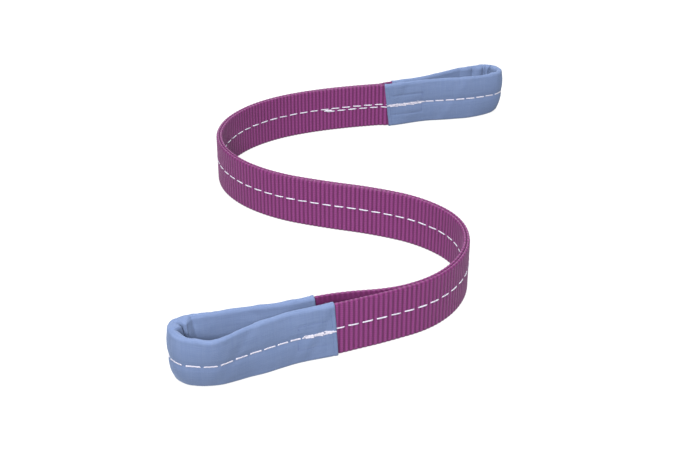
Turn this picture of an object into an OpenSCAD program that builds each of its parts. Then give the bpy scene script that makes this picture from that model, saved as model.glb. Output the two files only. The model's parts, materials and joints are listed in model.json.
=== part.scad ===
// Flat web sling: duplex webbing with a sleeved soft eye at each end.
// The sling stands on its edge, laid out in an S: far eye, far run, left bend, middle run,
// right bend, near run, near eye. +Z is up, and the origin is the middle of the footprint,
// at floor level. Each bend and each eye's throat has an upright hinge line, where one
// stretch of webbing ends in a round and the next in a hollow that turns about it.

/* [Webbing] */
// Width of the webbing, which is its height as the sling stands
web_width = 30; // [26:1:34]
// Thickness of one ply of webbing
ply_thick = 2.2; // [1.8:0.1:2.4]

/* [Route] */
// Heading of the far run where it leaves the far eye, anticlockwise from +X
start_heading = 190; // [180:1:200]
// Clearance between a round end and the hollow that it turns in
hinge_clearance = 0.3; // [0.2:0.05:0.5]

/* [Eyes] */
// Inner radius at the end of the far eye
far_eye_radius = 6.5; // [5.5:0.5:8]
// Inner radius at the end of the near eye
near_eye_radius = 6; // [5:0.5:7]

/* [Sleeves] */
// Thickness of the cloth on the faces of the webbing
sleeve_wall = 0.9; // [0.7:0.1:1.1]
// Thickness of the cloth over the edges of the webbing
sleeve_edge = 0.6; // [0.5:0.1:1]
// Distance from the end of a sleeve to its hem stitches
hem_width = 2; // [1.5:0.5:4]

/* [Stitching] */
// Pitch of the centre seam
seam_pitch = 7; // [6:0.5:8]
// Width of a stitch of the centre seam
thread_width = 1; // [0.6:0.1:1.4]
// How far a stitch stands proud of the cloth
thread_proud = 0.4; // [0.3:0.1:0.5]
// Height of the box stitch on each leg of a sleeve
box_height = 14; // [10:1:18]
// Drop of the overlapping second seam below the centre seam
second_seam_drop = 2.5; // [2:0.5:4]

/* [Hidden] */

web_colour = "#8A4578";
sleeve_colour = "#7C90B8";
seam_colour = "#F0F0F4";
fine_thread_colour = "#5C6F9C";

// Each run is a chain of arcs, as [length, turn in degrees], with left turns positive
far_run_arcs = [[30, 4], [30, 12], [25, 16], [25, 21], [20, 21]];
middle_run_arcs = [[10, 12], [25, 26], [25, 20], [30, 18], [30, 5],
                   [30, -9], [30, -25], [25, -34], [3, -4]];
near_run_arcs = [[22, -25], [25, -25], [15, -15]];
// The line up the middle of each eye, from its hinge to the centre of its round end
far_eye_arcs = [[15, 8], [69, 4]];
near_eye_arcs = [[25, -13], [50, 8], [25, -7], [15, -9]];

// An eye is [inner radius, half gap at the throat, [where the throat starts and stops
// widening], [where the eye starts and stops opening], [where the sleeve starts on the
// left leg, and on the right leg], length of the back tack, length of the box stitch]
RADIUS = 0;
THROAT = 1;
WIDENS = 2;
OPENS = 3;
SLEEVE = 4;
TACK = 5;
BOX = 6;
far_eye = [far_eye_radius, 2.4, [2, 10], [29, 71], [10, 10], 27, 25];
near_eye = [near_eye_radius, 4.5, [4, 48], [63, 95], [43, 51], 18, 20];

// A pitch of the seam is five stations, and a stitch covers four of the five steps
stations_per_stitch = 5;
step = seam_pitch / stations_per_stitch;
end_stations = 24;
cap_steps = 8;
bore_segments = 96;

web_base = sleeve_edge;
web_top = web_base + web_width;
sleeve_height = web_width + 2 * sleeve_edge;
seam_z = web_base + web_width / 2;
leg_half = ply_thick / 2 + sleeve_wall;
proud_face = leg_half + thread_proud;
// The sleeve is made this much too thick inside, and a bore then trims it to a true arc
bore_trim = 0.05;
round_end = ply_thick;
hollow_end = ply_thick + hinge_clearance;
// Below this gap between the plies of an eye they are sewn into one
least_gap = 0.3;
// Stations between a hinge and the first stitch, and at a hinge's round or hollow end
seam_start = 4;
cap_stations = 2;
// Stations left clear between a sleeve's end and its stitches, or between two seams
clear_stations = 1;
// Stitches in the second seam, and stations that a fine stitch covers, with its gap
second_seam_stitches = 6;
fine_stations = 3;
fine_width = 0.5;
fine_length = 3;
fine_gap = 1;

function total(list, i = 0) = i == len(list) ? 0 : list[i] + total(list, i + 1);
function reach_of(arcs) = total([for (arc = arcs) arc[0]]);
function last(list) = list[len(list) - 1];
function slice(list, from, to) = [for (i = [from : to]) list[i]];
function reversed(list) = [for (i = [len(list) - 1 : -1 : 0]) list[i]];
function middle_of(values) = (min(values) + max(values)) / 2;
function ramp(s, span) =
    let (t = min(1, max(0, (s - span[0]) / (span[1] - span[0])))) t * t * (3 - 2 * t);

// A pose is [x, y, heading]. It moves along an arc, or v to its left and u ahead.
function advance(pose, arc, part = 1) =
    let (radius = arc[0] / arc[1] * 180 / PI, heading = pose[2] + arc[1] * part)
    [pose[0] + radius * (sin(heading) - sin(pose[2])),
     pose[1] - radius * (cos(heading) - cos(pose[2])), heading];
function pose_at(pose, arcs, s, i = 0) =
    i == len(arcs) - 1 || s <= arcs[i][0]
        ? advance(pose, arcs[i], s / arcs[i][0])
        : pose_at(advance(pose, arcs[i]), arcs, s - arcs[i][0], i + 1);
function turned(pose, angle) = [pose[0], pose[1], pose[2] + angle];
function beside(pose, v, u = 0) =
    [pose[0] + u * cos(pose[2]) - v * sin(pose[2]),
     pose[1] + u * sin(pose[2]) + v * cos(pose[2])];

function stations(reach) =
    let (count = round(reach / step)) [for (i = [0 : count]) i * reach / count];
function trace(pose, arcs) = [for (s = stations(reach_of(arcs))) pose_at(pose, arcs, s)];

// The outline of a ribbon between two offsets from a line of poses
function ribbon(poses, low, high) =
    concat([for (pose = poses) beside(pose, low)],
           [for (pose = reversed(poses)) beside(pose, high)]);

// The round or hollow end of a ribbon, ahead of its pose (side 1) or behind it (side -1)
function cap(pose, radius, side, low, high) =
    [for (i = [0 : cap_steps])
        let (v = low + (high - low) * i / cap_steps)
        beside(pose, v, side * sqrt(max(0, radius * radius - v * v)))];
function capped_ribbon(poses, low, high, start_cap, end_cap) =
    let (inner = slice(poses, cap_stations, len(poses) - 1 - cap_stations))
    concat([for (pose = inner) beside(pose, low)],
           cap(last(poses), end_cap[0], end_cap[1], low, high),
           [for (pose = reversed(inner)) beside(pose, high)],
           reversed(cap(poses[0], start_cap[0], start_cap[1], low, high)));

// Half the distance between the middles of an eye's two legs, s along from its hinge
function tip_radius(eye) = eye[RADIUS] + leg_half;
function half_gap(eye, s) =
    ply_thick / 2 + (eye[THROAT] - ply_thick / 2) * ramp(s, eye[WIDENS])
    + (tip_radius(eye) - eye[THROAT]) * ramp(s, eye[OPENS]);
function flare(eye, s) = atan((half_gap(eye, s + 0.1) - half_gap(eye, s - 0.1)) / 0.2);
function leg(hinge, arcs, eye, side) =
    [for (s = stations(reach_of(arcs)))
        let (spine = pose_at(hinge, arcs, s))
        concat(beside(spine, side * half_gap(eye, s)), spine[2] + side * flare(eye, s))];
// The whole loop: out along the left leg, round the end, and back along the right leg
function loop(hinge, arcs, eye) =
    let (tip = pose_at(hinge, arcs, reach_of(arcs)))
    concat(leg(hinge, arcs, eye, 1),
           [for (i = [1 : end_stations - 1])
               let (angle = 90 - 180 * i / end_stations)
               concat(beside(turned(tip, angle), 0, tip_radius(eye)), tip[2] + angle - 90)],
           [for (pose = reversed(leg(hinge, arcs, eye, -1))) turned(pose, 180)]);
function sleeve_from(eye) = round(eye[SLEEVE][0] / step);
function sleeve_to(eye, poses) = len(poses) - 1 - round(eye[SLEEVE][1] / step);

// The route: three runs, the hinge pose of each eye, and the loop of each eye
function route(start) =
    let (far = trace(start, far_run_arcs), middle = trace(last(far), middle_run_arcs),
         near = trace(last(middle), near_run_arcs), far_hinge = turned(start, 180))
    [far, middle, near, far_hinge, last(near),
     loop(far_hinge, far_eye_arcs, far_eye), loop(last(near), near_eye_arcs, near_eye)];
function footprint(route) =
    concat([for (i = [0 : 2]) for (v = [-1, 1]) for (pose = route[i])
               beside(pose, v * (ply_thick + thread_proud))],
           [for (i = [5, 6]) for (pose = route[i]) beside(pose, proud_face)]);

// The route is laid out from nought first, and then again about its own middle
rough = footprint(route([0, 0, start_heading]));
laid = route([-middle_of([for (p = rough) p[0]]), -middle_of([for (p = rough) p[1]]),
              start_heading]);
far_poses = laid[0];
middle_poses = laid[1];
near_poses = laid[2];
far_hinge = laid[3];
near_hinge = laid[4];
far_loop = laid[5];
near_loop = laid[6];

module slab(outline, low, high) {
    translate([0, 0, low]) linear_extrude(height = high - low) polygon(outline);
}

// One ply of a run, on the left of the line (side 1) or on its right (side -1)
module ply(poses, side, start_cap, end_cap) {
    low = side > 0 ? 0 : -ply_thick;
    color(web_colour)
        slab(capped_ribbon(poses, low, low + ply_thick, start_cap, end_cap),
             web_base, web_top);
}

// A stitch on the left face (side 1) or the right face (side -1), between two stations
module stitch(poses, from, to, side, face, z, width) {
    low = side > 0 ? face : -face - thread_proud;
    slab(ribbon(slice(poses, from, to), low, low + thread_proud),
         z - width / 2, z + width / 2);
}

module seam(poses, from, to, sides, face, z) {
    color(seam_colour)
        for (i = [from : stations_per_stitch : to - stations_per_stitch], side = sides)
            stitch(poses, i, i + stations_per_stitch - 1, side, face, z, thread_width);
}

module run_seam(poses) {
    seam(poses, seam_start, len(poses) - seam_start, [-1, 1], ply_thick, seam_z);
}

module far_run_second_seam() {
    seam(far_poses, seam_start, seam_start + second_seam_stitches * stations_per_stitch,
         [-1, 1], ply_thick, seam_z - second_seam_drop);
}

// The webbing of an eye: its plies sewn into one at the hinge, then one ply round the loop
module eye_webbing(poses, eye, hinge) {
    opening = [for (i = [0 : len(poses) - 1])
        if (half_gap(eye, min(i, len(poses) - 1 - i) * step) > (ply_thick + least_gap) / 2)
            beside(poses[i], -ply_thick / 2)];
    edge = [for (pose = slice(poses, cap_stations, len(poses) - 1 - cap_stations))
               beside(pose, ply_thick / 2)];
    color(web_colour)
        difference() {
            slab(concat(edge, cap(hinge, hollow_end, 1, -ply_thick, ply_thick)),
                 web_base, web_top);
            slab(opening, web_base - 1, web_top + 1);
        }
}

// The cloth tube that the webbing runs through, round the end of the eye
module eye_sleeve(poses, eye, hinge, arcs) {
    from = sleeve_from(eye);
    to = sleeve_to(eye, poses);
    tip = pose_at(hinge, arcs, reach_of(arcs));
    color(sleeve_colour)
        difference() {
            slab(ribbon(slice(poses, from, to), -leg_half - bore_trim, leg_half),
                 0, sleeve_height);
            slab(ribbon(slice(poses, from - 1, to + 1), -ply_thick / 2, ply_thick / 2),
                 web_base, web_top);
            translate([tip[0], tip[1], -1])
                cylinder(h = sleeve_height + 2, r = eye[RADIUS], $fn = bore_segments);
        }
}

// The seam on the bare webbing of both legs, and on the outside of the sleeve
module eye_seam(poses, eye) {
    tack = round(eye[TACK] / step);
    from = sleeve_from(eye);
    to = sleeve_to(eye, poses);
    seam(poses, seam_start, from, [1], ply_thick / 2, seam_z);
    seam(poses, from + tack + 2 * clear_stations, to - tack, [1], leg_half, seam_z);
    seam(poses, to + clear_stations, len(poses) - seam_start, [1], ply_thick / 2, seam_z);
}

// At each end of the sleeve the seam is sewn back over itself
module eye_back_tack(poses, eye) {
    tack = round(eye[TACK] / step);
    from = sleeve_from(eye);
    to = sleeve_to(eye, poses);
    color(seam_colour)
        for (i = [from + clear_stations, to - tack])
            stitch(poses, i, i + tack - 1, 1, leg_half, seam_z, 2 * thread_width);
}

// A column of fine stitches across the sleeve, between two heights
module column(poses, station, low, high) {
    pose = poses[station];
    for (z = [low : fine_length + fine_gap : high - fine_length], u = -fine_width / 2)
        slab([beside(pose, leg_half, u), beside(pose, leg_half, u + fine_width),
              beside(pose, proud_face, u + fine_width), beside(pose, proud_face, u)],
             z, z + fine_length);
}

// Fine stitches in a rectangle on each leg, which hold the sleeve on the webbing
module eye_box_stitch(poses, eye) {
    count = round(eye[BOX] / step);
    from = sleeve_from(eye) + 2 * clear_stations;
    to = sleeve_to(eye, poses) - 2 * clear_stations;
    color(fine_thread_colour)
        for (box = [[from, from + count + clear_stations],
                    [to - count, to - count - clear_stations]]) {
            for (z = [seam_z - box_height / 2, seam_z + box_height / 2],
                 i = [box[0] : fine_stations : box[0] + count - fine_stations + 1])
                stitch(poses, i, i + fine_stations - 1, 1, leg_half, z, fine_width);
            column(poses, box[1], seam_z - box_height / 2, seam_z - thread_width);
            column(poses, box[1], seam_z + 2 * thread_width, seam_z + box_height / 2);
        }
}

module eye_hem_stitches(poses, eye) {
    inset = round(hem_width / step);
    color(fine_thread_colour)
        for (station = [sleeve_from(eye) + inset, sleeve_to(eye, poses) - inset]) {
            column(poses, station, fine_gap, seam_z - thread_width);
            column(poses, station, seam_z + 2 * thread_width, sleeve_height - fine_gap);
        }
}

eye_webbing(far_loop, far_eye, far_hinge);  // far_eye_webbing
eye_sleeve(far_loop, far_eye, far_hinge, far_eye_arcs);  // far_eye_sleeve
eye_seam(far_loop, far_eye);  // far_eye_seam
eye_back_tack(far_loop, far_eye);  // far_eye_back_tack
eye_box_stitch(far_loop, far_eye);  // far_eye_box_stitch
eye_hem_stitches(far_loop, far_eye);  // far_eye_hem_stitches
ply(far_poses, 1, [round_end, -1], [hollow_end, -1]);  // far_run_ply_a
ply(far_poses, -1, [round_end, -1], [hollow_end, -1]);  // far_run_ply_b
run_seam(far_poses);  // far_run_seam
far_run_second_seam();
ply(middle_poses, 1, [round_end, -1], [round_end, 1]);  // middle_run_ply_a
ply(middle_poses, -1, [round_end, -1], [round_end, 1]);  // middle_run_ply_b
run_seam(middle_poses);  // middle_run_seam
ply(near_poses, 1, [hollow_end, 1], [round_end, 1]);  // near_run_ply_a
ply(near_poses, -1, [hollow_end, 1], [round_end, 1]);  // near_run_ply_b
run_seam(near_poses);  // near_run_seam
eye_webbing(near_loop, near_eye, near_hinge);  // near_eye_webbing
eye_sleeve(near_loop, near_eye, near_hinge, near_eye_arcs);  // near_eye_sleeve
eye_seam(near_loop, near_eye);  // near_eye_seam
eye_back_tack(near_loop, near_eye);  // near_eye_back_tack
eye_box_stitch(near_loop, near_eye);  // near_eye_box_stitch
eye_hem_stitches(near_loop, near_eye);  // near_eye_hem_stitches
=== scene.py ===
import json
import math

import bpy
import numpy as np
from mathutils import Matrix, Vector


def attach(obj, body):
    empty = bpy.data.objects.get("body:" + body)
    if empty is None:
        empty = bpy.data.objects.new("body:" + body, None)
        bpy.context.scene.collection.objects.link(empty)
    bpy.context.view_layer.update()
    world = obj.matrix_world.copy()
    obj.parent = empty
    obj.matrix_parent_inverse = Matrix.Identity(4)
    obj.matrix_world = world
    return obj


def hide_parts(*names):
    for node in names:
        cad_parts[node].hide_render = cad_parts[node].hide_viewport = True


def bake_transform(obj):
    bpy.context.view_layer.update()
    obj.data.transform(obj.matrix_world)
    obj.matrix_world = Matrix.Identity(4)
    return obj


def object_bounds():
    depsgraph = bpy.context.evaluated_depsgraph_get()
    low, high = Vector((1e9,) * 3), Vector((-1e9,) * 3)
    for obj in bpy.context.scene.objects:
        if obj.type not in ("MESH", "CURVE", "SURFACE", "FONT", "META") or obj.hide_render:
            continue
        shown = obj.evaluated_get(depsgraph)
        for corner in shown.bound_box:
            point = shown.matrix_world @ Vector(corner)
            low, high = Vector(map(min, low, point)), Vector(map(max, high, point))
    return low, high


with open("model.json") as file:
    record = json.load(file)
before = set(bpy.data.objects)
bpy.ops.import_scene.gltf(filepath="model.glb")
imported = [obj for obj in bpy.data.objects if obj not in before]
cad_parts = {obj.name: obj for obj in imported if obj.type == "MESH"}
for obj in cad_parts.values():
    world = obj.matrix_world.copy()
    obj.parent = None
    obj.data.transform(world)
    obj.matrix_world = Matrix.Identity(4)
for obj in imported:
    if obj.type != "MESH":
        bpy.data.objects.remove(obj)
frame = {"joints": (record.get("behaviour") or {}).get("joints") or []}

# The looks of a flat web sling that stands on its edge in an S: a sleeved eye, a run of
# double webbing with two bends, and a second sleeved eye. All lengths are in metres.
# A line is a list of poses (x, y, heading in radians). Every strap travels with its outer
# face on its left, so "outward" is always to the left of its line.
MM = 0.001
CAD_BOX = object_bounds()

# The webbing
WEB_WIDTH = 30 * MM
PLY = 1.7 * MM
WEB_BASE = 0.6 * MM
SEAM_Z = WEB_BASE + WEB_WIDTH / 2
WEB_DROP = 0.25 * MM
WEB_DROPS = (10 * MM, 45 * MM)
CORE_HALF = 0.7 * MM
EDGE_ROUND = 0.8 * MM
HIDDEN_SLIM = 0.8 * MM
RIB_PITCH = 2.6 * MM
RIB_HEIGHT = 0.36 * MM
BEAD_PITCH = 1.2 * MM
BEAD_DEPTH = 0.45

# The route: each run is a chain of arcs of (length, turn to the left in degrees)
START_HEADING = math.radians(190)
FAR_RUN = [(0.030, 4), (0.030, 12), (0.025, 16), (0.025, 21), (0.020, 21)]
MIDDLE_RUN = [(0.010, 12), (0.025, 26), (0.025, 20), (0.030, 18), (0.030, 5),
              (0.030, -9), (0.030, -25), (0.025, -34), (0.003, -4)]
NEAR_RUN = [(0.022, -25), (0.025, -25), (0.015, -15)]
FAR_EYE = [(0.015, 8), (0.069, 4)]
NEAR_EYE = [(0.025, -13), (0.050, 8), (0.025, -7), (0.015, -9)]

# Distances along the webbing before and after each hinge, at which its blend points are
# placed; no blend is made from them
LEFT_SPREAD = 0.062
RIGHT_SPREAD = 0.040
FAR_THROAT_SPREAD = (0.012, 0.009)
NEAR_THROAT_SPREAD = (0.014, 0.014)

# The sleeves
CLOTH = 0.7 * MM
CLOTH_STEP = 0.6 * MM
SLEEVE_HALF = 2.0 * MM
SLEEVE_HEIGHT = 31.2 * MM
LEAN_CURVE = 0.7
HEM = 2.0 * MM

# The stitching. FACE_GAP is how far a stitch's middle lies off the face of a ply, RUN_PROUD
# is how much further it bulges, and the FINE values are for the box and hem stitches.
FACE_GAP = 0.1 * MM
RUN_PROUD = 0.12 * MM
FINE_PITCH = 2.4 * MM
FINE_GAP = 0.6 * MM
FINE_THREAD = 0.3 * MM
RUN_PITCH = 7.6 * MM
SLEEVE_PITCH = 6.9 * MM
STITCH_GAP = 1.9 * MM
RUN_SEAM_RISE = 0.9 * MM
SECOND_SEAM_DROP = 1.9 * MM
SECOND_SEAM_END = 35 * MM
SECOND_TACK = 5 * MM
BOX_HEIGHT = 14 * MM

rng = np.random.default_rng(7)


# ---------------------------------------------------------------- lines and poses

def length_of(arcs):
    return sum(length for length, _ in arcs)


def walk(start, arcs, distances):
    """The poses at those distances along a chain of arcs, whose end arcs run on."""
    distances = np.atleast_1d(np.asarray(distances, float))
    poses = np.empty((len(distances), 3))
    begin = 0.0
    x, y, heading = start
    for i, (length, turn) in enumerate(arcs):
        turn = math.radians(turn)
        radius = length / turn
        mine = (distances >= begin) | (i == 0)
        part = (distances[mine] - begin) / length
        if i < len(arcs) - 1:
            part = np.where(part > 1, 1, part)
        h = heading + turn * part
        poses[mine, 0] = x + radius * (np.sin(h) - math.sin(heading))
        poses[mine, 1] = y - radius * (np.cos(h) - math.cos(heading))
        poses[mine, 2] = h
        x += radius * (math.sin(heading + turn) - math.sin(heading))
        y -= radius * (math.cos(heading + turn) - math.cos(heading))
        heading += turn
        begin += length
    return poses


def turned(poses, angle):
    """The poses with their headings turned to the left."""
    return poses + np.array([0, 0, angle])


def beside(poses, v):
    """The poses moved v to their left."""
    moved = poses.copy()
    moved[:, 0] -= v * np.sin(poses[:, 2])
    moved[:, 1] += v * np.cos(poses[:, 2])
    return moved


def ramp(s, span):
    """A smooth rise from 0 before the span to 1 after it."""
    t = np.clip((s - span[0]) / (span[1] - span[0]), 0, 1)
    return t * t * (3 - 2 * t)


def bump(x, width):
    """A smooth bump of 1 at 0, which is nearly gone at twice its width."""
    return np.exp(-(x / width) ** 2)


def joint_place(name):
    return next(j["pos_m"] for j in frame["joints"] if j["name"] == name)


class Run:
    """A run of double webbing."""

    def __init__(self, start, arcs):
        self.start = start
        self.arcs = arcs
        self.length = length_of(arcs)
        self.end = walk(start, arcs, self.length)[0]

    def line(self, distances, back=False):
        poses = walk(self.start, self.arcs, distances)
        return turned(poses, math.pi) if back else poses


class Eye:
    """An eye: out along its left leg, round its end, and back along its right leg. Its
    front is 1 if its left leg is the front wall and -1 if its right leg is. The front
    wall flares out near its end, and its foot is tucked in by tuck and by tip_tuck."""

    def __init__(self, body, hinge, arcs, radius, throat, widens, opens, sleeve, tack, box,
                 box_depth, front, flare, tuck, tip_tuck):
        self.body = body
        self.hinge = hinge
        self.arcs = arcs
        self.throat = throat
        self.widens = widens
        self.opens = opens
        self.tack = tack
        self.box = box
        self.box_depth = box_depth
        self.front = front
        self.flare = flare
        self.tuck = tuck
        self.tip_tuck = tip_tuck
        self.reach = length_of(arcs)
        self.tip = walk(hinge, arcs, self.reach)[0]
        self.tip_radius = radius + SLEEVE_HALF
        self.round = math.pi * self.tip_radius
        self.length = 2 * self.reach + self.round
        self.sleeve_from = sleeve[0]
        self.sleeve_to = self.length - sleeve[1]
        self.middle = (self.sleeve_from + self.sleeve_to) / 2

    def half_gap(self, s):
        return (PLY / 2 + (self.throat - PLY / 2) * ramp(s, self.widens)
                + (self.tip_radius - self.throat) * ramp(s, self.opens))

    def leg(self, s, side):
        step = 0.1 * MM
        flare = np.arctan((self.half_gap(s + step) - self.half_gap(s - step)) / (2 * step))
        poses = beside(walk(self.hinge, self.arcs, s), side * self.half_gap(s))
        poses[:, 2] += side * flare
        return poses

    def loop(self, q):
        """The poses at those distances along the loop."""
        q = np.atleast_1d(np.asarray(q, float))
        angle = math.pi / 2 - (q - self.reach) / self.tip_radius
        facing = self.tip[2] + angle
        poses = np.stack([self.tip[0] + self.tip_radius * np.cos(facing),
                          self.tip[1] + self.tip_radius * np.sin(facing),
                          facing - math.pi / 2], 1)
        left = q < self.reach
        right = q > self.length - self.reach
        poses[left] = self.leg(q[left], 1)
        poses[right] = turned(self.leg(self.length - q[right], -1), math.pi)
        return poses

    def stance(self, q, height):
        """How far out from the loop the wall of the eye stands at that height, and how
        far that brings it down. Only its front wall leans out, near its end."""
        from_end = (q if self.front > 0 else self.length - q) - self.reach
        tuck = self.tuck * bump(from_end + 26 * MM, 9 * MM)
        tip_tuck = self.tip_tuck * bump(from_end - 6 * MM, 10 * MM)
        lean = self.flare * bump(from_end + 9.5 * MM, 11.5 * MM)
        share = np.clip(height / SLEEVE_HEIGHT, 0, 1)
        out = lean * share ** LEAN_CURVE - tuck * (1 - share) - tip_tuck * (1 - share) ** 4
        return out, share * lean ** 2 / (2 * SLEEVE_HEIGHT)


far_run = Run((*joint_place("far_eye_swing")[:2], START_HEADING), FAR_RUN)
middle_run = Run(far_run.end, MIDDLE_RUN)
near_run = Run(middle_run.end, NEAR_RUN)
far_hinge = np.array([*far_run.start[:2], START_HEADING + math.pi])
far_eye = Eye("far_eye", far_hinge, FAR_EYE, radius=6.5 * MM, throat=2.4 * MM,
              widens=(0.002, 0.010), opens=(0.029, 0.071), sleeve=(0.0128, 0.0079),
              tack=0.027, box=0.025, box_depth=0.32 * MM,
              front=-1, flare=0.6 * MM, tuck=0, tip_tuck=3.0 * MM)
near_eye = Eye("near_eye", near_run.end, NEAR_EYE, radius=6.0 * MM, throat=4.5 * MM,
               widens=(0.004, 0.048), opens=(0.063, 0.095), sleeve=(0.0436, 0.0505),
               tack=0.018, box=0.020, box_depth=0.10 * MM,
               front=1, flare=6.4 * MM, tuck=1.2 * MM, tip_tuck=3.2 * MM)

# Where the straps of neighbouring joints meet, along each run
FAR_MID = 18 * RIB_PITCH
MIDDLE_MID = middle_run.length / 2
NEAR_MID = 18 * RIB_PITCH


# ---------------------------------------------------------------- meshes

def new_piece(name, points, faces, material, lay=None):
    mesh = bpy.data.meshes.new(name)
    mesh.from_pydata(points.reshape(-1, 3).tolist(), [], faces)
    if lay is not None:
        mesh.attributes.new("lay", "FLOAT_VECTOR", "POINT").data.foreach_set(
            "vector", np.asarray(lay, np.float32).ravel())
    mesh.polygons.foreach_set("use_smooth", [True] * len(mesh.polygons))
    mesh.materials.append(material)
    mesh.validate()
    piece = bpy.data.objects.new(name, mesh)
    bpy.context.scene.collection.objects.link(piece)
    return piece


def tube_faces(rows, ring, first=0):
    """Faces of a closed tube of rows of ring points, with a face over each end."""
    faces = []
    for i in range(rows - 1):
        a = first + i * ring
        b = a + ring
        faces += [(a + j, a + (j + 1) % ring, b + (j + 1) % ring, b + j) for j in range(ring)]
    faces.append(tuple(first + j for j in reversed(range(ring))))
    faces.append(tuple(first + (rows - 1) * ring + j for j in range(ring)))
    return faces


# ---------------------------------------------------------------- webbing

RIB_SAMPLES = np.array([0, 0.12, 0.28, 0.5, 0.72, 0.88])
BEAD_SAMPLES = np.array([0, 0.17, 0.5, 0.83])


def arch(phase):
    """A row of arches that meet in sharp valleys, one to each whole phase."""
    t = 2 * (phase % 1) - 1
    return np.sqrt(np.clip(1 - t * t, 0, 1))


def rib(phase):
    """A row of ribs as wide as the valleys between them, one to each whole phase."""
    return np.abs(np.sin(math.pi * phase)) ** 1.3


def ribs_along(begin, end):
    """Distances that sample each rib, with the rib phase at each."""
    count = max(1, round(abs(end - begin) / RIB_PITCH))
    phase = np.append((np.arange(count)[:, None] + RIB_SAMPLES).ravel(), count)
    return begin + (end - begin) * phase / count, phase


def ply_ring():
    """A ply's outline across its line: how far out and up, which way it faces, its bead
    phase, and the shares of the ribs and of their beads that show there. The rib share also
    sets the
    painted shade of the colour: the edges are painted darker, and the back face, between the
    plies, darkest."""
    half = WEB_WIDTH / 2 - EDGE_ROUND
    beads = round(2 * half / BEAD_PITCH)
    bead = (np.arange(beads)[:, None] + BEAD_SAMPLES).ravel()[1:]
    face = [(CORE_HALF, -half + 2 * half * b / beads, 1, 0, b, 1, 1) for b in bead]
    edge = [(CORE_HALF * math.cos(t), half + EDGE_ROUND * math.sin(t), math.cos(t),
             math.sin(t), 0, 0.5 if t < 2.4 else 0.3, 0)
            for t in np.radians([0, 22, 45, 68, 90, 112, 135, 158, 180])]
    back = [(-CORE_HALF, z, -1, 0, 0, 0, 0) for z in np.linspace(half, -half, 8)[1:-1]]
    under = [(v, -z, nv, -nz, b, w, c) for v, z, nv, nz, b, w, c in reversed(edge)]
    return np.array(face + edge + back + under)


RING = ply_ring()


def drop(distance):
    """The webbing sinks to the floor away from the eyes, by this at that distance."""
    return WEB_DROP * ramp(distance, WEB_DROPS)


def upright_wall(distances, height):
    """The stance of a wall that stands upright on its line."""
    return 0 * height, 0 * height


def strap_points(line, phase, shows, sunk, distances, stance):
    """Points of a ply along a line of poses, with its ribs and their beads, and the painted
    shade of its colour.
    """
    v, z, out, up, bead, share, beaded = RING.T
    parity = 0.5 * (np.floor(phase + 1e-6) % 2)
    beads = 1 - BEAD_DEPTH * beaded * (1 - arch(bead[None] + parity[:, None]))
    crest_and_shade = rib(phase)[:, None] * beads
    rise = RIB_HEIGHT * shows[:, None] * crest_and_shade * share[None]
    lean, lower = stance(distances[:, None], SEAM_Z + z[None])
    across = v[None] + rise * out[None] + lean
    slim = HIDDEN_SLIM * (1 - shows[:, None]) * z[None] / (WEB_WIDTH / 2)
    left = np.stack([-np.sin(line[:, 2]), np.cos(line[:, 2])], 1)
    points = np.empty((len(line), len(RING), 3))
    points[..., :2] = line[:, None, :2] + left[:, None] * across[..., None]
    points[..., 2] = SEAM_Z + z[None] + rise * up[None] - sunk[:, None] - lower - slim
    # The third part of lay is painted shade for the colour: low in the rib valleys and
    # between the beads, lower on the edges, and lowest on the back face between the plies.
    lay = np.stack([np.broadcast_to(phase[:, None] * RIB_PITCH / MM, rise.shape),
                    np.broadcast_to(z[None] / MM, rise.shape),
                    crest_and_shade * (0.2 + 0.8 * share[None])], 2)
    return points, lay


def strap(name, stretches, material):
    """One ply as a closed strap, from what strap_points takes for each stretch."""
    parts = [strap_points(*stretch) for stretch in stretches]
    points = np.concatenate([p for p, _ in parts])
    lay = np.concatenate([q for _, q in parts])
    return new_piece(name, points, tube_faces(len(points), len(RING)), material, lay)


def run_stretch(run, begin, end, sunk):
    """A stretch of the ply on the left of the way from begin to end along a run."""
    distances, phase = ribs_along(begin, end)
    line = beside(run.line(distances, back=end < begin), PLY / 2)
    return line, phase, np.ones(len(phase)), sunk(distances), distances, upright_wall


def joined(*stretches):
    """Stretches end to end, without their shared stations and with one run of phase."""
    done = []
    base = 0
    for i, stretch in enumerate(stretches):
        first = 0 if i == 0 else 1
        line, phase, shows, sunk, distances = (each[first:] for each in stretch[:5])
        done.append((line, phase + base, shows, sunk, distances, stretch[5]))
        base += round(phase[-1])
    return done


def eye_stretches(eye, bare_out, bare_back, sunk):
    """The ply round an eye: ribbed where it is bare, and plain inside the sleeve."""
    inside = 6 * MM
    out, out_phase = ribs_along(0, bare_out + inside)
    back, back_phase = ribs_along(eye.length - bare_back - inside, eye.length)
    hidden = np.arange(out[-1], back[0], 1.2 * MM)
    hidden = np.linspace(out[-1], back[0], len(hidden))
    flat = np.zeros(len(hidden))

    def stretch(q, phase, shows):
        return (eye.loop(q), phase, shows, sunk(np.minimum(q, eye.length - q)), q,
                eye.stance)

    return [stretch(out, out_phase, 1 - ramp(out, (bare_out, bare_out + inside))),
            stretch(hidden, flat, flat),
            stretch(back, back_phase,
                    1 - ramp(eye.length - back, (bare_back, bare_back + inside)))]


def level(distances):
    """How far the webbing has sunk, along the middle run."""
    return np.full(len(distances), WEB_DROP)


def to_near_eye(distances):
    """How far the webbing has sunk, along the near run."""
    return drop(near_run.length - distances + near_eye.sleeve_from)


def in_near_eye(distances):
    """How far the webbing has sunk, along either leg of the near eye."""
    return drop(near_eye.sleeve_from - distances)


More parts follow.
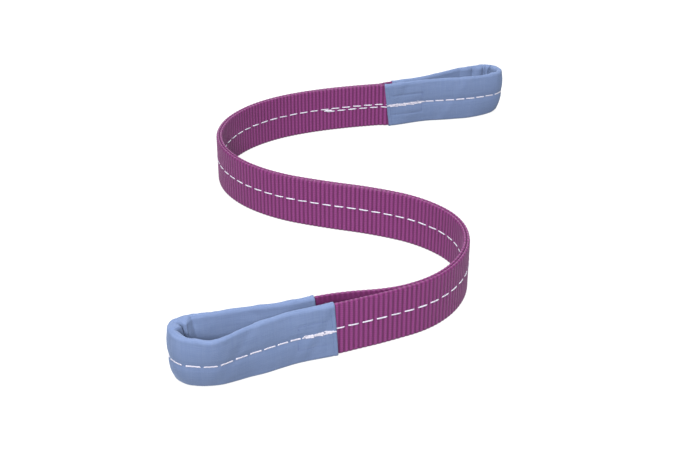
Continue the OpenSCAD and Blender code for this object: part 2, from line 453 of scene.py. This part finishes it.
def make_straps(material):
    """Each ply is split on each run, between two bends and in a valley between ribs."""
    far = strap("far_eye_strap", joined(
        run_stretch(far_run, FAR_MID, 0, drop),
        *eye_stretches(far_eye, far_eye.sleeve_from, far_eye.length - far_eye.sleeve_to,
                       lambda q: 0 * q),
        run_stretch(far_run, 0, FAR_MID, drop)), material)
    near = strap("near_eye_strap", joined(
        run_stretch(near_run, NEAR_MID, near_run.length, to_near_eye),
        *eye_stretches(near_eye, near_eye.sleeve_from,
                       near_eye.length - near_eye.sleeve_to, in_near_eye),
        run_stretch(near_run, near_run.length, NEAR_MID, to_near_eye)), material)
    left = [strap("left_bend_strap_a", joined(
                run_stretch(far_run, FAR_MID, far_run.length, drop),
                run_stretch(middle_run, 0, MIDDLE_MID, level)), material),
            strap("left_bend_strap_b", joined(
                run_stretch(middle_run, MIDDLE_MID, 0, level),
                run_stretch(far_run, far_run.length, FAR_MID, drop)), material)]
    right = [strap("right_bend_strap_a", joined(
                 run_stretch(middle_run, MIDDLE_MID, middle_run.length, level),
                 run_stretch(near_run, 0, NEAR_MID, to_near_eye)), material),
             strap("right_bend_strap_b", joined(
                 run_stretch(near_run, NEAR_MID, 0, to_near_eye),
                 run_stretch(middle_run, middle_run.length, MIDDLE_MID, level)), material)]
    return far, left, right, near


# ---------------------------------------------------------------- sleeves

RING_POINTS = 112


def sleeve_ring():
    """The outline of a sleeve, as parts of its own height and half thickness: out, up,
    which way it faces, and its height as a share. It starts low on the outer face."""
    half = SLEEVE_HEIGHT / 2 - SLEEVE_HALF
    straight, turn = 2 * half, math.pi * SLEEVE_HALF
    whole = 2 * (straight + turn)
    ring = []
    for at in np.arange(RING_POINTS) / RING_POINTS * whole:
        if at < straight:
            ring.append((SLEEVE_HALF, at - half, 1, 0))
        elif at < straight + turn:
            t = (at - straight) / SLEEVE_HALF
            ring.append((SLEEVE_HALF * math.cos(t), half + SLEEVE_HALF * math.sin(t),
                         math.cos(t), math.sin(t)))
        elif at < 2 * straight + turn:
            ring.append((-SLEEVE_HALF, half - (at - straight - turn), -1, 0))
        else:
            t = math.pi + (at - 2 * straight - turn) / SLEEVE_HALF
            ring.append((SLEEVE_HALF * math.cos(t), SLEEVE_HALF * math.sin(t) - half,
                         math.cos(t), math.sin(t)))
    return np.array(ring)


def waves(q, seed, longest, count=5):
    """Smooth uneven waves along q, from about -1 to 1."""
    own = np.random.default_rng(seed)
    total = np.zeros_like(q)
    for k in range(count):
        total += np.sin(2 * math.pi * q * (1 + 0.6 * k) / longest + own.uniform(0, 6.28)) \
            / (1 + 0.5 * k)
    return total / 2


def pleats(offset, valleys, depths):
    """Rounded folds between sharp valleys, at that offset from the middle of a sleeve,
    and the creases at the valleys."""
    fold = np.zeros_like(offset)
    crease = np.zeros_like(offset)
    for begin, end, depth in zip(valleys[:-1], valleys[1:], depths):
        part = np.clip((offset / MM - begin) / (end - begin), 0, 1)
        fold += depth * MM * np.sin(math.pi * part) ** 0.6
    for valley in valleys[1:-1]:
        crease += bump(offset - valley * MM, 0.9 * MM)
    return fold, crease


def sleeve_points(eye, q, valleys, depths, slants):
    """The outer surface of a sleeve's cloth, over a grid of loop distance and ring."""
    v, z, out, up = sleeve_ring().T
    v, z, out, up, q = v[None], z[None], out[None], up[None], q[:, None]
    to_end = np.minimum(q - eye.sleeve_from, eye.sleeve_to - q)
    at_tip = bump(q - eye.middle, 22 * MM)
    top = np.clip(up, 0, 1)
    face = np.abs(out)
    inner = np.clip(-out, 0, 1)

    # The cloth stands off the webbing, most at the end of the eye, and the seam pulls it in
    away = ramp(to_end, (0.002, 0.022))
    puff = 0.45 + at_tip * (0.15 + 0.8 * inner)
    rise = puff * MM * away * (1 - np.abs(z / 0.0158) ** 2.5) * face
    rise -= 0.55 * MM * bump(z, 2.2 * MM) * face * away
    rise -= 0.45 * MM * ramp(np.abs(z), (8 * MM, 14 * MM)) * face * away
    rise += 0.16 * MM * waves(q, 3, 34 * MM) * (0.4 + top)
    rise += 0.30 * MM * bump(q - eye.middle, 34 * MM) * waves(q, 4, 12 * MM) * top
    rise += 0.16 * MM * waves(q + 0.6 * z, 5, 26 * MM) * (1 - np.clip(-up, 0, 1))

    # The hem and the box of fine stitches
    rise += 0.12 * MM * (1 - ramp(to_end, (0.4 * HEM, 1.3 * HEM)))
    rise -= 0.16 * MM * bump(to_end - HEM, 0.35 * MM)
    in_box = (to_end < eye.box) * ramp(to_end, (HEM, 2 * HEM))
    rise -= eye.box_depth * in_box * bump(np.abs(z) - BOX_HEIGHT / 2, 0.6 * MM) * face
    rise -= eye.box_depth * bump(to_end - eye.box, 0.6 * MM) * (np.abs(z) < BOX_HEIGHT / 2)

    # The folds on the inside of the end of the eye, and the creases between them
    tilt = 0.16 * (z - 0.010) * np.sign(q - eye.middle)
    gather, crease = pleats(q - eye.middle + tilt, valleys, depths)
    rise -= 0.55 * MM * crease * ramp(z, (0.004, 0.015)) * (top * (out < 0.4) + inner)
    inward = np.clip((1 - out) / 2, 0, 1) * ramp(z, (-0.016, 0.011))
    across = v * (1 + 0.05 * at_tip) + rise * out
    across = across - gather * inward * (1 - ramp(-up, (0.1, 0.9)))

    lean, lower = eye.stance(q, SLEEVE_HEIGHT / 2 + z)
    across = across + lean
    height = SLEEVE_HEIGHT / 2 + z + rise * up - lower
    slant = np.where(q < eye.middle, slants[0], slants[1])
    shift = slant * z * (1 - ramp(to_end, (0, 0.012)))
    lines = eye.loop((q + shift).ravel())
    points = np.empty((across.size, 3))
    points[:, :2] = beside(lines, across.ravel())[:, :2]
    points[:, 2] = height.ravel()
    return points.reshape(*across.shape, 3)


class Sleeve:
    """A sleeve, with its outer surface kept so that threads can be sewn on it."""

    def __init__(self, name, eye, valleys, depths, slants, material):
        self.eye = eye
        count = round((eye.sleeve_to - eye.sleeve_from) / CLOTH_STEP)
        self.q = np.linspace(eye.sleeve_from, eye.sleeve_to, count)
        self.points = sleeve_points(eye, self.q, valleys, depths, slants)
        along = np.gradient(self.points, axis=0)
        around = np.roll(self.points, -1, 1) - np.roll(self.points, 1, 1)
        self.normals = np.cross(along, around)
        self.normals /= np.linalg.norm(self.normals, axis=2)[..., None]
        self.straight = SLEEVE_HEIGHT - 2 * SLEEVE_HALF
        self.girth = 2 * (self.straight + math.pi * SLEEVE_HALF)
        self.piece = self.make(name, material)

    def make(self, name, material):
        lay = np.zeros(self.points.shape)
        lay[..., 0] = self.q[:, None] / MM
        lay[..., 1] = np.arange(RING_POINTS)[None] / RING_POINTS * self.girth / MM
        faces = tube_faces(len(self.q), RING_POINTS)[:-2]
        piece = new_piece(name, self.points, faces, material, lay)
        thick = piece.modifiers.new("cloth", "SOLIDIFY")
        thick.thickness = CLOTH
        thick.offset = -1
        apply_modifiers(piece)
        return piece

    def at(self, q, z, lift, inside=False):
        """Points on the outer or inner face, at a height from the seam, lifted off it."""
        round_it = self.straight / 2 + z
        if inside:
            round_it = self.girth - math.pi * SLEEVE_HALF - round_it
        i = np.clip((q - self.q[0]) / (self.q[1] - self.q[0]), 0, len(self.q) - 1.001)
        j = round_it / self.girth * RING_POINTS + 0 * i
        a, b = i.astype(int), j.astype(int)
        s, t = (i - a)[:, None], (j - b)[:, None]

        def between(grid):
            c = (b + 1) % RING_POINTS
            low = grid[a, b] * (1 - t) + grid[a, c] * t
            high = grid[a + 1, b] * (1 - t) + grid[a + 1, c] * t
            return low * (1 - s) + high * s

        return between(self.points) + between(self.normals) * np.reshape(lift, (-1, 1))


def apply_modifiers(piece):
    bpy.context.view_layer.update()
    made = bpy.data.meshes.new_from_object(
        piece.evaluated_get(bpy.context.evaluated_depsgraph_get()))
    piece.modifiers.clear()
    piece.data = made


# ---------------------------------------------------------------- stitching

def stitch(begin, end, point, thread, proud, tilt, rows=13, ring=8):
    """One stitch from begin to end along a seam. It rises out of its first hole and goes
    down into its second. point gives places from distances, heights and lifts."""
    t = np.linspace(0, 1, rows)
    distances = begin + (end - begin) * t
    heights = tilt * (t - 0.5)
    lift = proud * (1 - np.abs(2 * t - 1) ** 5 * 2.2)
    centre = point(distances, heights, lift)
    ahead = np.gradient(centre, axis=0)
    ahead /= np.linalg.norm(ahead, axis=1)[:, None]
    out = point(distances, heights, lift + 0.1 * MM) - centre
    out -= (out * ahead).sum(1)[:, None] * ahead
    out /= np.linalg.norm(out, axis=1)[:, None]
    side = np.cross(ahead, out)
    angle = np.linspace(0, 2 * math.pi, ring, endpoint=False)
    taper = np.clip(1 - np.abs(2 * t - 1) ** 7 * 0.45, 0.3, 1)[:, None, None]
    twist = 1 + 0.10 * np.cos(2 * (angle[None] - t[:, None] * 9))
    wide = thread / 2 * np.cos(angle)[None] * twist
    tall = thread * 0.33 * np.sin(angle)[None] * twist
    return centre[:, None] + taper * (side[:, None] * wide[..., None]
                                      + out[:, None] * tall[..., None])


def sew(name, stitches, material):
    """One piece out of separate stitches."""
    faces = []
    points = []
    count = 0
    for made in stitches:
        rows, ring = made.shape[:2]
        faces += tube_faces(rows, ring, count)
        points.append(made.reshape(-1, 3))
        count += rows * ring
    return new_piece(name, np.concatenate(points), faces, material)


def beside_run(run, back, z, sunk):
    """The face of a run, on its left or, going back, on its right, for stitch(). Before
    its start, the far run's goes on along a leg of the far eye."""

    def point(distances, heights, lift):
        out = PLY / 2 + FACE_GAP + lift
        poses = beside(run.line(distances, back), PLY / 2 + out)
        if run is far_run:
            q = -distances if back else far_eye.length + distances
            on_eye = distances < 0
            poses[on_eye] = beside(far_eye.loop(q), out)[on_eye]
        poses[:, 2] = z + heights - sunk(distances)
        return poses

    return point


def beside_eye(eye, face, sunk):
    """The outer face of the bare webbing of an eye, or the inner one if face is less
    than nothing, for stitch()."""

    def point(distances, heights, lift):
        poses = beside(eye.loop(distances), face + math.copysign(1, face) * lift)
        poses[:, 2] = (SEAM_Z + RUN_SEAM_RISE + heights
                       - sunk(np.minimum(distances, eye.length - distances)))
        return poses

    return point


def row(begin, end, pitch, point, proud, loose=1.0, thread=0.8 * MM, gap=STITCH_GAP):
    """A row of stitches. loose is how unevenly they lie."""
    count = max(1, round((end - begin) / pitch))
    pitch = (end - begin) / count
    made = []
    for i in range(count):
        a = begin + i * pitch + gap / 2
        b = begin + (i + 1) * pitch - gap / 2
        tilt = rng.uniform(-0.1, 0.4) * MM * loose
        wide = thread * rng.uniform(0.92, 1.08)
        made.append(stitch(a, b, point, wide, proud, tilt))
    return made


# ---------------------------------------------------------------- materials

class Shader:
    """A short way to build a node material around a Principled shader."""

    def __init__(self, name, roughness, specular, sheen=0.0, sheen_tint=(1, 1, 1)):
        self.material = bpy.data.materials.new(name)
        self.material.use_nodes = True
        self.nodes = self.material.node_tree.nodes
        self.links = self.material.node_tree.links
        self.surface = self.nodes["Principled BSDF"]
        self.surface.inputs["Roughness"].default_value = roughness
        self.surface.inputs["Specular IOR Level"].default_value = specular
        self.surface.inputs["Sheen Weight"].default_value = sheen
        self.surface.inputs["Sheen Tint"].default_value = (*sheen_tint, 1)
        self.surface.inputs["Sheen Roughness"].default_value = 0.45

    def put(self, socket, value):
        if isinstance(value, bpy.types.NodeSocket):
            self.links.new(value, socket)
        elif hasattr(value, "__len__") and len(value) == 3 and len(socket.default_value) == 4:
            socket.default_value = (*value, 1)
        else:
            socket.default_value = value

    def node(self, kind, output, inputs, **settings):
        node = self.nodes.new(kind)
        for key, value in settings.items():
            setattr(node, key, value)
        for key, value in inputs.items():
            self.put(node.inputs[key], value)
        return node.outputs[output]

    def math(self, operation, a, b=0.0, clamp=False):
        return self.node("ShaderNodeMath", 0, {0: a, 1: b}, operation=operation,
                         use_clamp=clamp)

    def mix(self, factor, a, b, blend="MIX"):
        return self.node("ShaderNodeMix", 2, {0: factor, 6: a, 7: b}, data_type="RGBA",
                         blend_type=blend)

    def lay(self):
        return self.node("ShaderNodeAttribute", "Vector", {}, attribute_name="lay")

    def scaled(self, vector, scale):
        return self.node("ShaderNodeVectorMath", 0, {0: vector, 1: scale},
                         operation="MULTIPLY")

    def part(self, vector, axis):
        return self.node("ShaderNodeSeparateXYZ", axis, {0: vector})

    def noise(self, vector, scale, detail=3.0, roughness=0.55):
        return self.node("ShaderNodeTexNoise", 0, {"Vector": vector, "Scale": scale,
                                                   "Detail": detail,
                                                   "Roughness": roughness})

    def remap(self, value, low, high, to_low=0.0, to_high=1.0):
        return self.node("ShaderNodeMapRange", 0, {0: value, 1: low, 2: high, 3: to_low,
                                                   4: to_high})

    def bump(self, height, distance, strength=1.0):
        normal = self.node("ShaderNodeBump", 0, {"Strength": strength,
                                                 "Distance": distance, "Height": height})
        self.links.new(normal, self.surface.inputs["Normal"])

    def colour(self, value):
        self.put(self.surface.inputs["Base Color"], value)


def webbing_material():
    shader = Shader("violet_webbing", 0.55, 0.12, 0.06, (0.9, 0.5, 0.85))
    lay = shader.lay()
    crest_and_shade = shader.part(lay, 2)
    warp = shader.noise(shader.scaled(lay, (0.35, 3.2, 0)), 2.2, 2.0)
    patch = shader.noise(shader.scaled(lay, (0.06, 0.12, 0)), 1.0, 3.0)
    # Painted shade: the base colour runs from dark in the rib valleys, in the gaps between
    # the beads, on the edges and on the back faces between the plies, to light on the rib
    # crests.
    base = shader.mix(shader.remap(crest_and_shade, 0.2, 0.8), (0.034, 0.004, 0.025),
                      (0.106, 0.019, 0.085))
    warm = shader.mix(shader.remap(warp, 0.3, 0.7, 0, 0.28), base, (0.134, 0.029, 0.103))
    worn = shader.mix(shader.remap(patch, 0.35, 0.7, 0, 0.22), warm, (0.087, 0.014, 0.068))
    shader.colour(worn)
    fibres = shader.noise(shader.scaled(lay, (1.2, 9.0, 0)), 3.0, 2.0)
    shader.bump(fibres, 0.05 * MM, 0.7)
    shader.put(shader.surface.inputs["Roughness"], shader.remap(fibres, 0.3, 0.7, 0.42, 0.6))
    return shader.material


def sleeve_material():
    shader = Shader("blue_cloth", 0.85, 0.06, 0.12, (0.6, 0.75, 1.0))
    lay = shader.lay()
    along, round_it = shader.part(lay, 0), shader.part(lay, 1)
    pitch = 0.52
    warp = shader.math("SINE", shader.math("MULTIPLY", along, 2 * math.pi / pitch))
    weft = shader.math("SINE", shader.math("MULTIPLY", round_it, 2 * math.pi / pitch))
    weave = shader.math("MULTIPLY", warp, weft)
    slub_a = shader.noise(shader.scaled(lay, (1.9, 0.06, 0)), 1.0, 3.0)
    slub_b = shader.noise(shader.scaled(lay, (0.06, 1.9, 0)), 1.0, 3.0)
    patch = shader.noise(shader.scaled(lay, (0.05, 0.05, 0)), 1.0, 3.0)
    base = shader.mix(shader.remap(weave, -1, 1, 0.0, 1.0), (0.057, 0.081, 0.149),
                      (0.078, 0.105, 0.178))
    streak = shader.mix(shader.remap(slub_a, 0.35, 0.7, 0, 0.6), base, (0.089, 0.115, 0.185))
    streak = shader.mix(shader.remap(slub_b, 0.35, 0.7, 0, 0.6), streak,
                        (0.053, 0.076, 0.140))
    shader.colour(shader.mix(shader.remap(patch, 0.35, 0.7, 0, 0.25), streak,
                             (0.064, 0.087, 0.154)))
    shader.bump(weave, 0.05 * MM, 0.5)
    return shader.material


def thread_material(name, light, dark, roughness=0.6):
    shader = Shader(name, roughness, 0.1, 0.05)
    place = shader.node("ShaderNodeTexCoord", "Object", {})
    fibres = shader.noise(place, 2600.0, 2.0)
    patch = shader.noise(place, 160.0, 2.0)
    base = shader.mix(shader.remap(fibres, 0.35, 0.65), dark, light)
    shader.colour(shader.mix(shader.remap(patch, 0.4, 0.7, 0, 0.35), base, dark))
    shader.bump(fibres, 0.06 * MM, 0.6)
    return shader.material


def floor_material():
    shader = Shader("white_floor", 0.9, 0.1)
    shader.colour(shader.mix(shader.noise(shader.node("ShaderNodeTexCoord", "Object", {}),
                                          3.0), (0.08, 0.08, 0.08), (0.09, 0.09, 0.09)))
    shader.surface.inputs["Emission Color"].default_value = (1, 1, 1, 1)
    shader.surface.inputs["Emission Strength"].default_value = 0.85
    return shader.material


# ---------------------------------------------------------------- the whole sling

def run_rows(run, begin, end, sunk, lower=0.0):
    """The seam on both faces of a stretch of a run."""
    made = []
    z = SEAM_Z + RUN_SEAM_RISE - lower
    for back in (False, True):
        made += row(begin, end, RUN_PITCH, beside_run(run, back, z, sunk), RUN_PROUD)
    return made


def second_tack():
    """The thick start of the second seam, between it and the centre seam."""
    made = []
    z = SEAM_Z + RUN_SEAM_RISE - 0.6 * SECOND_SEAM_DROP
    for back in (False, True):
        made += row(SECOND_SEAM_END - SECOND_TACK, SECOND_SEAM_END + 1 * MM, SECOND_TACK,
                    beside_run(far_run, back, z, drop), 0.2 * MM, 1.0, 1.3 * MM,
                    0.4 * MM)
    return made


def run_threads(white):
    """The seam of each run, split where the straps are, and the far run's second seam."""
    bare = (near_eye.sleeve_from, near_eye.length - near_eye.sleeve_to)
    legs = []
    for face in (PLY / 2 + FACE_GAP, -PLY / 2):
        point = beside_eye(near_eye, face, in_near_eye)
        for begin, length in ((0, bare[0]), (near_eye.length, -bare[1])):
            count = math.ceil(abs(length) / RUN_PITCH)
            ends = sorted((begin, begin + math.copysign(count * RUN_PITCH, length)))
            legs += row(*ends, RUN_PITCH, point, RUN_PROUD)
    return {
        "far_throat_seam": sew("far_throat_seam", run_rows(
            far_run, FAR_MID - 8 * RUN_PITCH, FAR_MID, drop), white),
        "far_second_seam": sew("far_second_seam", run_rows(
            far_run, SECOND_SEAM_END - 6 * RUN_PITCH, SECOND_SEAM_END, drop,
            SECOND_SEAM_DROP) + second_tack(), white),
        "left_bend_seam": sew("left_bend_seam", run_rows(
            far_run, FAR_MID, far_run.length, drop)
            + run_rows(middle_run, 0, MIDDLE_MID, level), white),
        "right_bend_seam": sew("right_bend_seam", run_rows(
            middle_run, MIDDLE_MID, middle_run.length, level)
            + run_rows(near_run, 0, NEAR_MID, to_near_eye), white),
        "near_throat_seam": sew("near_throat_seam", run_rows(
            near_run, NEAR_MID, near_run.length, to_near_eye) + legs, white)}


def on_sleeve(cloth, z, inside=False):
    """A line along the sleeve, for stitch()."""

    def point(distances, heights, lift):
        return cloth.at(distances, z + heights, lift, inside)

    return point


def upright(cloth, q, z):
    """A line up the sleeve instead of along it, for stitch()."""

    def point(distances, heights, lift):
        return cloth.at(q + heights, z + distances, lift)

    return point


def sleeve_threads(cloth, name, white, fine):
    """The seam round a sleeve, its back tacks, and the fine stitches at its ends."""
    eye = cloth.eye
    begin, end = eye.sleeve_from, eye.sleeve_to
    seam = []
    for inside in (False, True):
        seam += row(begin + eye.tack, end - eye.tack, SLEEVE_PITCH,
                    on_sleeve(cloth, 0, inside), 0.2 * MM, 0.6, 1.1 * MM, 1.4 * MM)
    tacks = []
    for low, high in ((begin, begin + eye.tack), (end - eye.tack, end)):
        for inside in (False, True):
            for shift, z in ((0, 0), (2.1 * MM, 0.6 * MM), (4.4 * MM, -0.55 * MM)):
                tacks += row(low + shift * 0.5, high - shift * 0.4, SLEEVE_PITCH * 0.8,
                             on_sleeve(cloth, z, inside), 0.26 * MM, 2.6, 1.05 * MM,
                             0.4 * MM)
    box = []
    hem = []
    half = BOX_HEIGHT / 2
    for at, inward in ((begin, 1), (end, -1)):
        far_side = at + inward * eye.box
        for z in (-half, half):
            low, high = sorted((at + inward * 2 * HEM, far_side))
            box += row(low, high, FINE_PITCH, on_sleeve(cloth, z), 0.03 * MM, 0.1,
                       FINE_THREAD, FINE_GAP)
        for low, high in ((-half, -1.2 * MM), (1.2 * MM, half)):
            box += row(low, high, FINE_PITCH, upright(cloth, far_side, 0), 0.05 * MM, 0.1,
                       0.4 * MM, FINE_GAP)
            hem += row(low * 1.85, high * 1.85, FINE_PITCH,
                       upright(cloth, at + inward * HEM, 0), 0.03 * MM, 0.1, FINE_THREAD,
                       FINE_GAP)
    return {f"{name}_seam": sew(f"{name}_seam", seam, white),
            f"{name}_back_tack": sew(f"{name}_back_tack", tacks, white),
            f"{name}_box_stitch": sew(f"{name}_box_stitch", box, fine),
            f"{name}_hem_stitches": sew(f"{name}_hem_stitches", hem, fine)}


def make_floor():
    bpy.ops.mesh.primitive_plane_add(size=80)
    floor = bpy.context.object
    floor.name = "floor"
    floor.data.materials.append(floor_material())


def make_light():
    world = bpy.data.worlds.new("studio")
    world.use_nodes = True
    world.node_tree.nodes["Background"].inputs[0].default_value = (1, 1, 1, 1)
    world.node_tree.nodes["Background"].inputs[1].default_value = 0.08
    bpy.context.scene.world = world
    lamps = [("top", (0.0, -0.35, 1.5), 2.0, 85), ("front", (-0.25, -1.35, 0.9), 0.5, 54),
             ("back", (0.1, 1.3, 0.9), 1.0, 30)]
    for name, place, size, power in lamps:
        lamp = bpy.data.lights.new(name, "AREA")
        lamp.size = size
        lamp.energy = power
        held = bpy.data.objects.new(name, lamp)
        held.location = place
        aim = -held.location
        held.rotation_euler = aim.to_track_quat("-Z", "Y").to_euler()
        bpy.context.scene.collection.objects.link(held)


def make_camera():
    low, high = CAD_BOX
    middle = [(a + b) / 2 for a, b in zip(low, high)]
    camera = bpy.data.cameras.new("camera")
    camera.lens = 62.35
    camera.sensor_width = 36
    camera.clip_start = 0.01
    held = bpy.data.objects.new("camera", camera)
    held.location = (middle[0] - 0.0176, middle[1] - 0.6079, low[2] + 0.3448)
    held.rotation_euler = (math.radians(90 - 29.95), 0, 0)
    bpy.context.scene.collection.objects.link(held)
    bpy.context.scene.camera = held
    bpy.context.scene.view_settings.view_transform = "Standard"


def place_of(run, distance):
    """A point on a run's centre seam, put in a blend tuple below, from which no blend is
    made.
    """
    x, y, _ = run.line(distance)[0]
    return x, y, SEAM_Z


def eye_place(eye, distance):
    """A point up the middle of an eye, put in a blend tuple below, from which no blend is
    made.
    """
    x, y, _ = walk(eye.hinge, eye.arcs, distance)[0]
    return x, y, SEAM_Z


make_camera()
make_light()
make_floor()
webbing = webbing_material()
cloth = sleeve_material()
white_thread = thread_material("white_thread", (0.36, 0.35, 0.385), (0.23, 0.22, 0.27))
fine_thread = thread_material("blue_thread", (0.075, 0.10, 0.19), (0.035, 0.05, 0.11))

far_strap, left_straps, right_straps, near_strap = make_straps(webbing)
far_sleeve = Sleeve("far_sleeve", far_eye, (-34, -24, -16, -9, 3), (1.0, 2.6, 3.0, 1.8),
                    (0.0, 0.10), cloth)
near_sleeve = Sleeve("near_sleeve", near_eye, (-9, 0, 8, 18.5, 27), (1.5, 3.0, 4.0, 0.4),
                     (0.06, -0.08), cloth)
threads = run_threads(white_thread)
sewn = {"far_eye": sleeve_threads(far_sleeve, "far_sleeve", white_thread, fine_thread),
        "near_eye": sleeve_threads(near_sleeve, "near_sleeve", white_thread, fine_thread)}

FAR_BLEND = ("far_run", "far_eye", place_of(far_run, FAR_THROAT_SPREAD[0]),
             eye_place(far_eye, FAR_THROAT_SPREAD[1]))
LEFT_BLEND = ("far_run", "middle_run", place_of(far_run, far_run.length - LEFT_SPREAD),
              place_of(middle_run, LEFT_SPREAD))
RIGHT_BLEND = ("middle_run", "near_run",
               place_of(middle_run, middle_run.length - RIGHT_SPREAD),
               place_of(near_run, RIGHT_SPREAD))
NEAR_BLEND = ("near_run", "near_eye",
              place_of(near_run, near_run.length - NEAR_THROAT_SPREAD[0]),
              eye_place(near_eye, NEAR_THROAT_SPREAD[1]))

for piece, crossing, slot, nodes in [
        (far_strap, FAR_BLEND, "webbing",
         ("far_eye_webbing", "far_run_ply_a", "far_run_ply_b")),
        (left_straps[0], LEFT_BLEND, "webbing", ("far_run_ply_a", "middle_run_ply_a")),
        (left_straps[1], LEFT_BLEND, "webbing", ("far_run_ply_b", "middle_run_ply_b")),
        (right_straps[0], RIGHT_BLEND, "webbing", ("middle_run_ply_a", "near_run_ply_a")),
        (right_straps[1], RIGHT_BLEND, "webbing", ("middle_run_ply_b", "near_run_ply_b")),
        (near_strap, NEAR_BLEND, "webbing",
         ("near_eye_webbing", "near_run_ply_a", "near_run_ply_b")),
        (threads["far_throat_seam"], FAR_BLEND, "seam_thread", ("far_run_seam",)),
        (threads["far_second_seam"], FAR_BLEND, "seam_thread", ("far_run_second_seam",)),
        (threads["left_bend_seam"], LEFT_BLEND, "seam_thread",
         ("far_run_seam", "middle_run_seam")),
        (threads["right_bend_seam"], RIGHT_BLEND, "seam_thread",
         ("middle_run_seam", "near_run_seam")),
        (threads["near_throat_seam"], NEAR_BLEND, "seam_thread", ("near_run_seam",))]:
    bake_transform(piece)
    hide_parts(*nodes)
for body, cover in (("far_eye", far_sleeve), ("near_eye", near_sleeve)):
    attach(cover.piece, body)
    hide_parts(f"{body}_sleeve")
    for name, piece in sewn[body].items():
        kind = name.split("_sleeve_")[1]
        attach(piece, body)
        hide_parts(f"{body}_{kind}")
